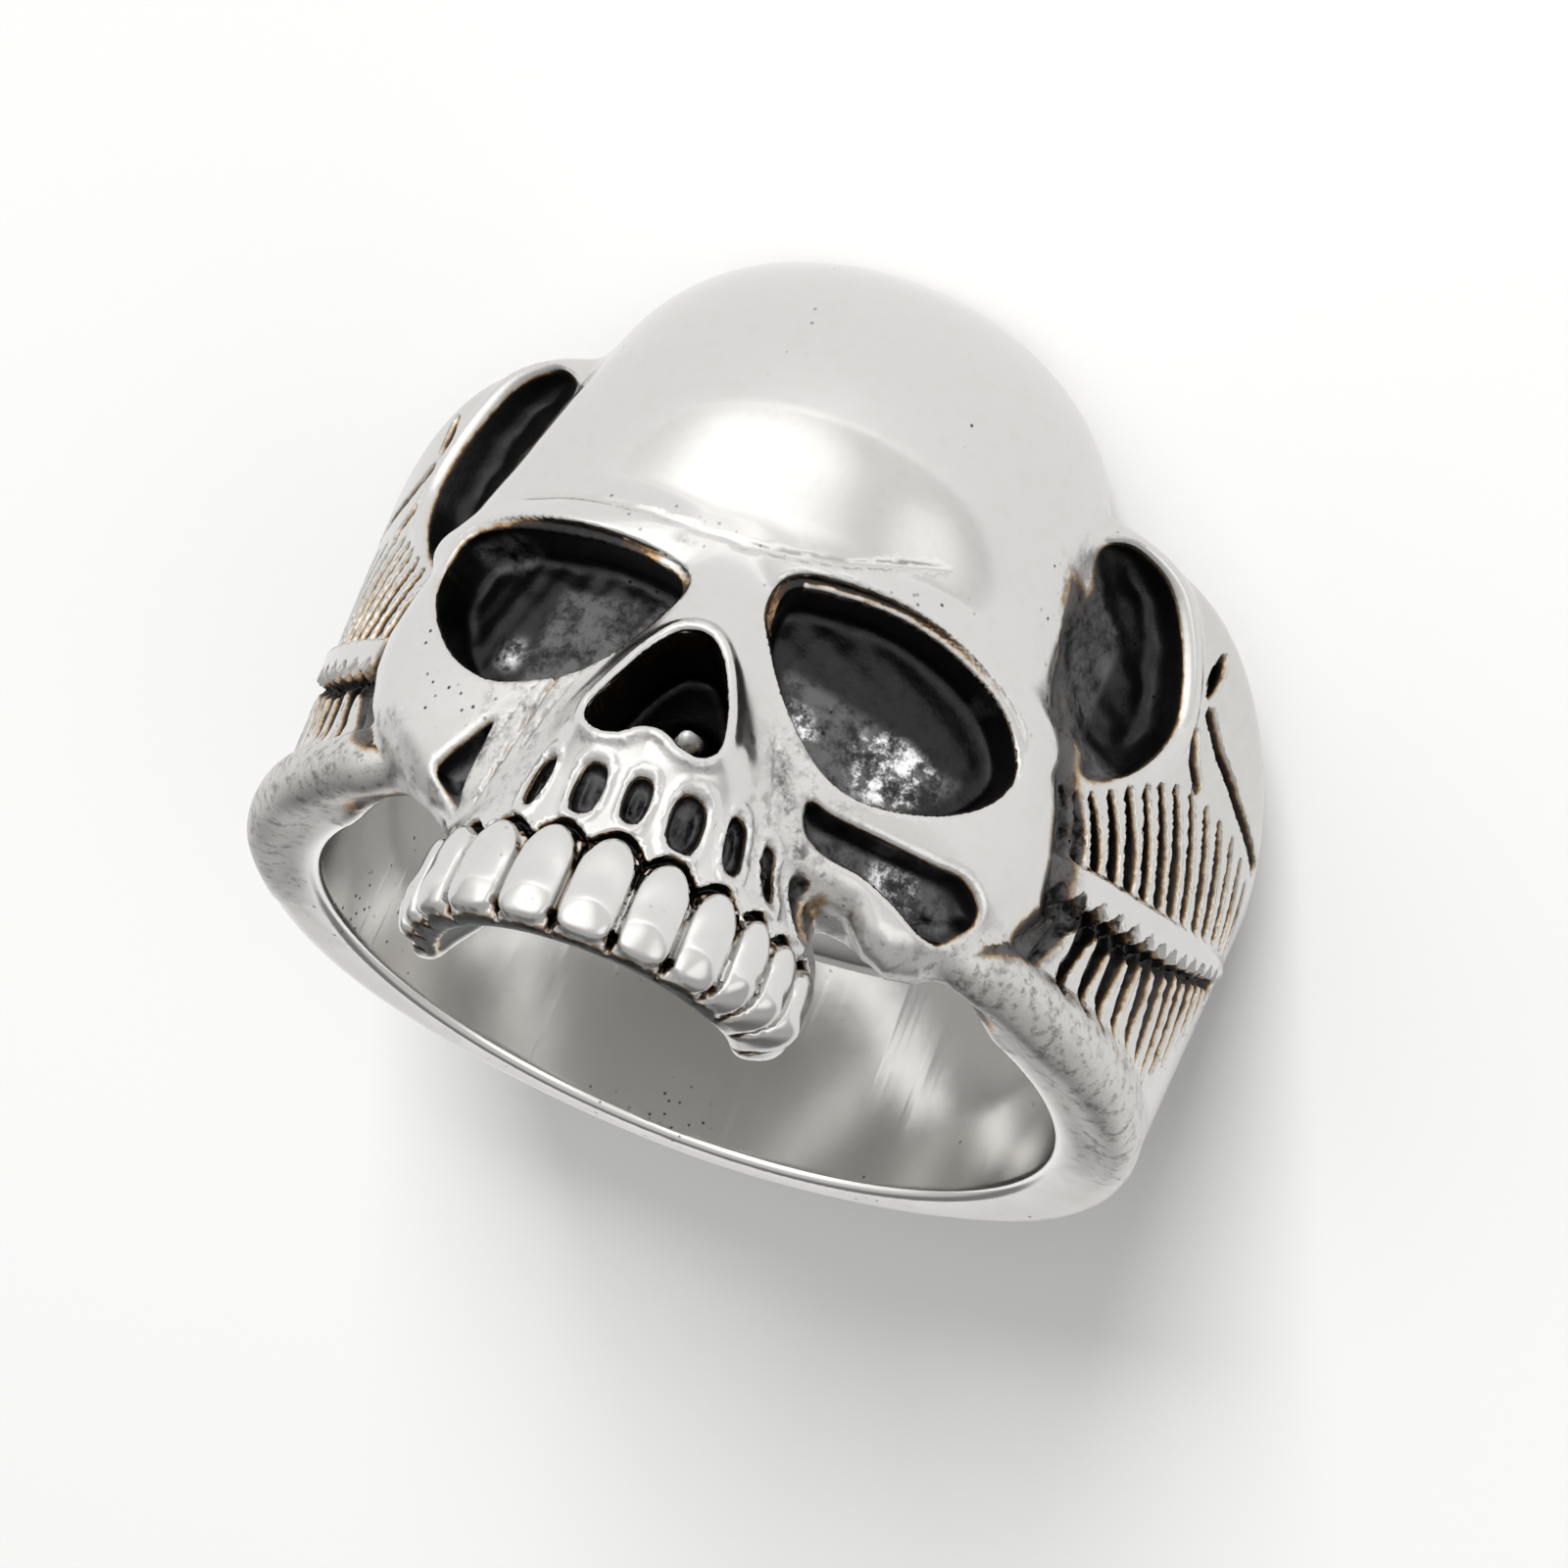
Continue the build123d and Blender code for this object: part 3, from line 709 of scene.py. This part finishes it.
# The nose is blackest; the step in the right socket is rubbed bright, and the ball in the nose is kept from
# black and given pale dust, a painted highlight standing in for its glint
in_nose = step(-0.05, -0.2, NOSE_CHART(from_nose, z)) * front * outside
ball = blob(from_nose, z, BALL_AT, (0.5, 0.45)) * in_nose * step(12.1, 12.6, radius)
socket_rim = np.exp(-((SOCKETS(face_x, z) - 0.05) / 0.08) ** 2)
ledge = socket_rim * step(0.3, 1.2, z) * (face_x > 1.6) * (radius > 13.2)
recess = recess * (1 + 0.35 * in_nose) * (1 - 0.9 * ball) * (1 - ledge)
recess = recess * outside * (y < 4)
attribute("recess", recess)

# Where a recess is grey and dusty instead of black; on the knob in the left socket and on the nose's ball the
# pale grey is a painted highlight
window_base = window_floor(angle, z)
slope = (step(0.1, -0.15, WINDOW_CHART(angle, z)) * step(0.15, 0.6, window_base - WINDOW_FLOOR)
         * step(0.5, 0.2, radius - window_base))
socket_floor = step(-0.25, -0.5, SOCKETS(face_x, z)) * step(12.6, 12.2, radius)
grey_right = (face_x > 0) * step(1.45, 1.1, z + 0.13 * (face_x - 2))
# the blob lays pale dust on the knob in the left socket: a painted highlight
grey_left = step(-5.2, -4.9, face_x) * step(2.0, 1.7, z) + blob(face_x, z, (-5.7, -0.2), (0.42, 0.5))
socket_floor *= np.where(face_x > 0, grey_right, grey_left)
pockets = step(0.2, 0.32, tooth) * (z > -5.1) * (z < 0)
hollow = step(-0.1, -0.3, HOLLOWS(face_x, z)) * step(13.0, 12.7, radius)
behind_face = 0.8 * step(0.1, 0.4, corner) * (side > 0.05)
ash_and_glint = np.maximum.reduce([0.8 * slope, 0.9 * socket_floor * front, 0.6 * pockets, 0.8 * hollow * front,
                         0.6 * (teeth_edge > 0), fold, 0.7 * scar, ball, 0.8 * soot, behind_face])
attribute("ash_and_glint", ash_and_glint * outside)

# Left rough, as cast: the shoulders' chin-side edge, the muzzle's sides and the cheeks' underside
shoulder_edge = (step(-62, -52, angle) * step(14, -8, angle) * step(CHIN_EDGE + 1.9, CHIN_EDGE + 1.2, z)
                 * step(11.0, 11.6, radius))
muzzle = (step(2.1, 2.8, np.abs(face_x)) * step(5.4, 4.2, np.abs(face_x)) * step(0.6, -0.4, z)
          * step(-5.6, -4.8, z) * front)
underside = (step(0.3, 0.6, -normals[:, 2]) * (y < -6) * (z < -2) * step(-5.2, -4.8, z)
             * step(10.8, 11.0, radius))
coarse = np.maximum.reduce([shoulder_edge, 0.7 * muzzle, 0.7 * underside]) * step(0.5, 0.1, recess)
attribute("coarse", coarse)
# Inside the finger hole: clean rubbed silver, also painted lighter, which is painted light
attribute("bore_rubbed_and_painted_light", 1 - outside)

cast = bpy.data.objects.new("skull_ring_cast", mesh)
bpy.context.scene.collection.objects.link(cast)
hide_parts("skull_ring")
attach(cast, "root")


def node(tree, kind, **values):
    made = tree.nodes.new(kind)
    for name, value in values.items():
        if name in made.inputs:
            made.inputs[name].default_value = value
        else:
            setattr(made, name, value)
    return made


# Paler dust, which on the knob in the left socket and on the nose's ball is a painted highlight: across and
# up on the face, radius from the finger's axis, size, and how mottled it is
DUST_AND_GLINT_SPOTS = [(5.7, -0.1, SOCKET_FLOOR, 1.6, 1.0), (-5.7, -0.2, SOCKET_FLOOR, 0.8, 0.3),
               (6.6, -2.9, HOLLOW_FLOOR, 1.0, 1.0), (2.6, -0.2, SOCKET_FLOOR, 1.0, 1.0),
               (*BALL_AT, 13.1, 0.9, 0.4)]
# From bare silver over a warm tarnish to black, by how black a place is
TARNISH = [(0.0, (0.68, 0.672, 0.66)), (0.24, (0.62, 0.605, 0.58)), (0.368, (0.42, 0.27, 0.13)),
           (0.448, (0.10, 0.065, 0.045)), (0.60, (0.045, 0.043, 0.043)), (0.82, (0.035, 0.035, 0.036)),
           (1.0, (0.01, 0.01, 0.01))]
TARNISH_SPAN = 0.8
DUST_DARK, DUST_AND_GLINT_PALE = 0.055, 0.55
# Silver inside the finger hole: clean and rubbed, and lighter than the outside as painted light
RUBBED_AND_PAINTED_LIGHT = (0.94, 0.93, 0.91, 1)
CAST_SKIN = (0.26, 0.25, 0.24, 1)
PIT = (0.12, 0.11, 0.11, 1)


def on_face(across, up, radius):
    """A place in the recesses of the face, in metres where the ring lies."""
    x = across * radius / FACE_RADIUS + SKULL_SHIFT
    return (LAID @ np.array([x, -math.sqrt(radius ** 2 - x ** 2), up]) + RING_MIDDLE) * MM


def silver_material():
    material = bpy.data.materials.new("silver")
    material.use_nodes = True
    tree = material.node_tree
    link = tree.links.new
    shader = tree.nodes["Principled BSDF"]
    place = node(tree, "ShaderNodeTexCoord").outputs["Object"]

    def noise(scale, detail=2.0, rough=0.5):
        made = node(tree, "ShaderNodeTexNoise", Scale=scale, Detail=detail, Roughness=rough)
        link(place, made.inputs["Vector"])
        return made.outputs["Fac"]

    def math_node(operation, a, b=None, clamp=False):
        made = node(tree, "ShaderNodeMath", operation=operation, use_clamp=clamp)
        for socket, value in zip(made.inputs, (a, b)):
            if value is None:
                continue
            if isinstance(value, (int, float)):
                socket.default_value = value
            else:
                link(value, socket)
        return made.outputs[0]

    def spread(value, low, high, to_low=0.0, to_high=1.0):
        made = node(tree, "ShaderNodeMapRange", interpolation_type="SMOOTHSTEP")
        link(value, made.inputs["Value"])
        for name, number in (("From Min", low), ("From Max", high), ("To Min", to_low), ("To Max", to_high)):
            made.inputs[name].default_value = number
        return made.outputs["Result"]

    black = node(tree, "ShaderNodeAttribute", attribute_name="recess").outputs["Fac"]
    uneven = math_node("SUBTRACT", noise(2500, 4, 0.7), 0.5)
    worn = math_node("ADD", black, math_node("MULTIPLY", uneven, 0.55))
    ramp = node(tree, "ShaderNodeValToRGB")
    link(math_node("MULTIPLY", worn, TARNISH_SPAN), ramp.inputs["Fac"])
    ramp.color_ramp.elements[0].position = 0.0
    ramp.color_ramp.elements[1].position = 1.0
    for position, colour in TARNISH[1:-1]:
        ramp.color_ramp.elements.new(position)
    for element, (position, colour) in zip(ramp.color_ramp.elements, TARNISH):
        element.position = position
        element.color = (*colour, 1)

    # grey dust on the floors of the recesses, paler in spots; on the knob in the left socket and the nose's
    # ball the paleness is a painted highlight
    ash_and_glint = node(tree, "ShaderNodeAttribute", attribute_name="ash_and_glint").outputs["Fac"]
    dust_and_glint = math_node("MULTIPLY", ash_and_glint, spread(noise(1500, 5, 0.75), 0.36, 0.60), clamp=True)
    dust_and_glint_mix = node(tree, "ShaderNodeMix", data_type="RGBA")
    link(dust_and_glint, dust_and_glint_mix.inputs["Factor"])
    link(ramp.outputs["Color"], dust_and_glint_mix.inputs["A"])
    pale = None
    mottled = spread(noise(2600, 4, 0.75), 0.40, 0.62)
    for across, up, radius, size, share in DUST_AND_GLINT_SPOTS:
        at = Vector(on_face(across, up, radius))
        away = node(tree, "ShaderNodeVectorMath", operation="DISTANCE")
        link(place, away.inputs[0])
        away.inputs[1].default_value = at
        near = spread(away.outputs["Value"], size * MM, size * 0.4 * MM)
        near = math_node("MULTIPLY", near, math_node("ADD", math_node("MULTIPLY", mottled, share), 1 - share))
        pale = near if pale is None else math_node("MAXIMUM", pale, near)
    link(spread(pale, 0.0, 1.0, DUST_DARK, DUST_AND_GLINT_PALE), dust_and_glint_mix.inputs["B"])
    link(math_node("SUBTRACT", 1.0, math_node("MULTIPLY", dust_and_glint, 0.9)), shader.inputs["Metallic"])

    # the finger hole is clean, rubbed silver, and is painted lighter than the outside to stand in for light
    # inside it: painted light
    rubbed_and_painted_light_mix = node(tree, "ShaderNodeMix", data_type="RGBA")
    link(node(tree, "ShaderNodeAttribute", attribute_name="bore_rubbed_and_painted_light").outputs["Fac"], rubbed_and_painted_light_mix.inputs["Factor"])
    link(dust_and_glint_mix.outputs["Result"], rubbed_and_painted_light_mix.inputs["A"])
    rubbed_and_painted_light_mix.inputs["B"].default_value = RUBBED_AND_PAINTED_LIGHT

    # skin of the casting, left rough and mottled
    coarse = node(tree, "ShaderNodeAttribute", attribute_name="coarse").outputs["Fac"]
    mottle = node(tree, "ShaderNodeMix", data_type="RGBA")
    link(math_node("MULTIPLY", coarse, spread(noise(2300, 5, 0.75), 0.48, 0.66)), mottle.inputs["Factor"])
    link(rubbed_and_painted_light_mix.outputs["Result"], mottle.inputs["A"])
    mottle.inputs["B"].default_value = CAST_SKIN

    # tiny dark pits, in clusters
    pits = node(tree, "ShaderNodeTexVoronoi", Scale=2600.0)
    link(place, pits.inputs["Vector"])
    clusters = spread(noise(330, 3, 0.6), 0.56, 0.66)
    pit = math_node("MULTIPLY", spread(pits.outputs["Distance"], 0.18, 0.08), clusters)
    tone = node(tree, "ShaderNodeMix", data_type="RGBA", blend_type="MULTIPLY")
    link(pit, tone.inputs["Factor"])
    link(mottle.outputs["Result"], tone.inputs["A"])
    tone.inputs["B"].default_value = PIT
    link(tone.outputs["Result"], shader.inputs["Base Color"])
    # smooth where it is bare, duller in the black, under dust and the painted highlight of the knob and ball,
    # on cast skin and in the pits
    shine = math_node("ADD", spread(worn, 0.3, 0.7, 0.13, 0.28), math_node("MULTIPLY", noise(700, 3), 0.08))
    shine = math_node("ADD", shine, math_node("MULTIPLY", dust_and_glint, 0.25))
    shine = math_node("ADD", shine, math_node("MULTIPLY", coarse, 0.28))
    link(math_node("ADD", shine, math_node("MULTIPLY", pit, 0.3)), shader.inputs["Roughness"])

    bump = node(tree, "ShaderNodeBump", Strength=0.25, Distance=0.00003)
    link(noise(420, 3, 0.55), bump.inputs["Height"])
    grain = node(tree, "ShaderNodeBump", Strength=0.35, Distance=0.00005)
    grainy = math_node("MAXIMUM", coarse, spread(black, 0.35, 0.7))
    link(math_node("MULTIPLY", noise(3200, 4, 0.7), grainy), grain.inputs["Height"])
    link(bump.outputs["Normal"], grain.inputs["Normal"])
    link(grain.outputs["Normal"], shader.inputs["Normal"])
    return material


mesh.materials.clear()
mesh.materials.append(silver_material())

# Floor
bpy.ops.mesh.primitive_plane_add(size=3.0, location=(0, 0, 0))
floor = bpy.context.object
floor.name = "floor"
paper = bpy.data.materials.new("paper")
paper.use_nodes = True
matt = paper.node_tree.nodes["Principled BSDF"]
matt.inputs["Base Color"].default_value = (0.68, 0.68, 0.68, 1)
matt.inputs["Roughness"].default_value = 0.9
floor.data.materials.append(paper)

# Camera, worked out in the ring's frame: angles, distance and offsets in mm, focal length in pixels
YAW, ELEVATION, ROLL = math.radians(11), math.radians(-23), math.radians(22.5)
AWAY, SIDE, UP, FOCAL = 90.2, -1.66, -2.81, 3300
IMAGE = 1600
SENSOR = 36
flat = math.cos(ELEVATION)
back = Vector((math.sin(YAW) * flat, -math.cos(YAW) * flat, math.sin(ELEVATION)))
level = Vector((math.cos(YAW), math.sin(YAW), 0))
upright = back.cross(level)
right = level * math.cos(ROLL) + upright * math.sin(ROLL)
top = upright * math.cos(ROLL) - level * math.sin(ROLL)
laid = Matrix(LAID.tolist())
eye = back * AWAY - right * SIDE - top * UP + Vector((SKULL_SHIFT, 0, 0))
turn = (laid @ Matrix((right, top, back)).transposed()).to_4x4()
camera = bpy.data.objects.new("camera", bpy.data.cameras.new("camera"))
camera.matrix_world = Matrix.Translation((laid @ eye + Vector(RING_MIDDLE)) * MM) @ turn
camera.data.sensor_width = SENSOR
camera.data.lens = FOCAL / IMAGE * SENSOR
camera.data.clip_start = 0.005
bpy.context.scene.collection.objects.link(camera)
bpy.context.scene.camera = camera


def lamp(name, place, size, energy, target):
    data = bpy.data.lights.new(name, "AREA")
    data.shape = "RECTANGLE"
    data.size, data.size_y = size
    data.energy = energy
    made = bpy.data.objects.new(name, data)
    made.location = place
    made.visible_glossy = False
    made.rotation_euler = (Vector(target) - Vector(place)).to_track_quat("-Z", "Y").to_euler()
    bpy.context.scene.collection.objects.link(made)


# It casts the shadow and isn't mirrored in the metal, which mirrors the tent
lamp("shadow", (0.20, -1.36, 0.56), (0.5, 0.5), 44.0, (0, 0, 0.01))


def tent(base, patches):
    """A white tent: its light by direction, each patch (direction, inner and outer angle, change)."""
    world = bpy.data.worlds.new("tent")
    bpy.context.scene.world = world
    world.use_nodes = True
    tree = world.node_tree
    link = tree.links.new
    facing = tree.nodes.new("ShaderNodeTexCoord").outputs["Generated"]
    total = None
    for direction, inner, outer, change in patches:
        dot = node(tree, "ShaderNodeVectorMath", operation="DOT_PRODUCT")
        link(facing, dot.inputs[0])
        dot.inputs[1].default_value = Vector(direction).normalized()
        part = node(tree, "ShaderNodeMapRange", interpolation_type="SMOOTHSTEP")
        link(dot.outputs["Value"], part.inputs["Value"])
        part.inputs["From Min"].default_value = math.cos(math.radians(outer))
        part.inputs["From Max"].default_value = math.cos(math.radians(inner))
        part.inputs["To Min"].default_value = base if total is None else 0.0
        part.inputs["To Max"].default_value = change + (base if total is None else 0.0)
        if total is None:
            total = part.outputs["Result"]
        else:
            add = node(tree, "ShaderNodeMath", operation="ADD")
            link(total, add.inputs[0])
            link(part.outputs["Result"], add.inputs[1])
            total = add.outputs[0]
    shade = tree.nodes["Background"]
    shade.inputs["Color"].default_value = (1, 0.995, 0.985, 1)
    link(total, shade.inputs["Strength"])


tent(0.50, [
    ((0.36, -0.78, 0.52), 3, 42, 0.7),
    ((0.80, -0.40, 0.40), 5, 40, 0.3),
    ((0.0, -1.0, 0.0), 20, 105, 0.42),
    ((-0.75, -0.40, 0.52), 8, 26, 0.5),
    ((0.18, 0.98, 0.05), 25, 60, -0.33),
])
bpy.context.scene.view_settings.view_transform = "Standard"
